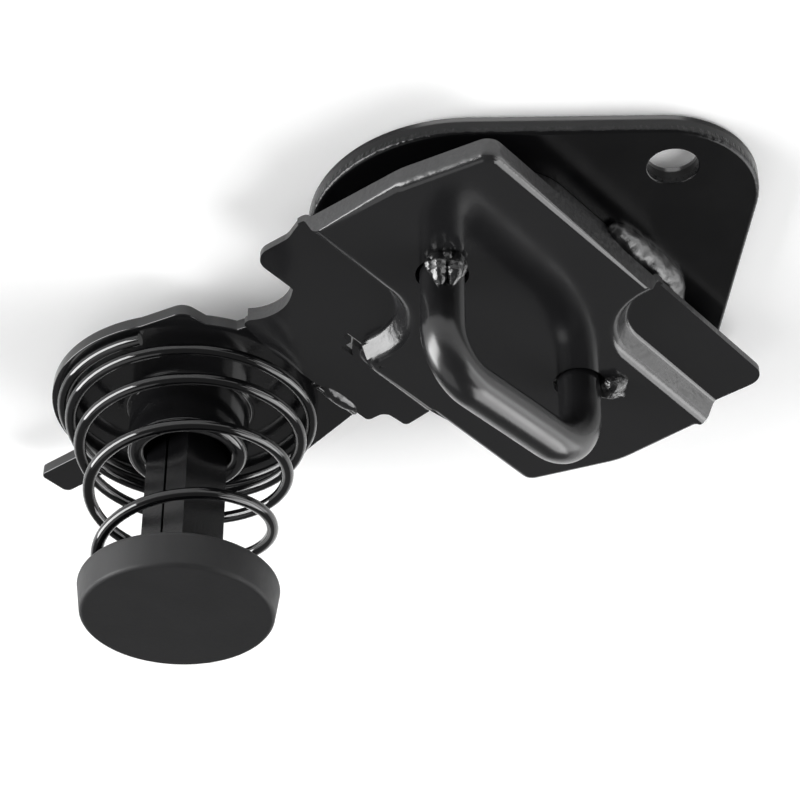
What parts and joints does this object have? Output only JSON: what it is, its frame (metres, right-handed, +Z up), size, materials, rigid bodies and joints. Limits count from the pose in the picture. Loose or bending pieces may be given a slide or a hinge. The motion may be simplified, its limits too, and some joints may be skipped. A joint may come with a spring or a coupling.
{
  "type": "bonnet latch, upper half with striker loop and lift plunger",
  "caption": "Pressed steel bonnet striker with a bent bar loop on a raised bracket, a bolt-on plate and a spring-loaded plastic lift plunger.",
  "frame": {"origin": "on the mounting face, above the striker loop", "axes": "+Z up into the bonnet, along the plunger's stroke; +Y along the striker bar; +X from the plunger towards the bolt hole"},
  "size_m": [0.1696, 0.0977, 0.058],
  "materials": {
    "black_coated_steel": "gloss",
    "black_spring_wire": "gloss",
    "black_moulded_plastic": "matte"
  },
  "bodies": {
    "base": {"mounting_plate": "black_coated_steel", "packing_plate": "black_coated_steel", "striker_bracket": "black_coated_steel", "striker_loop": "black_coated_steel", "spring_plate": "black_coated_steel", "conical_spring": "black_spring_wire"},
    "plunger": {"plunger": "black_moulded_plastic"}
  },
  "joints": [
    {"name": "plunger_slide", "type": "slide", "parent": "base", "child": "plunger", "axis": [0, 0, 1], "range_m": [0, 0.025], "stiffness_N_per_m": 2000, "springref_m": -0.03, "deforming": ["conical_spring"]}
  ]
}
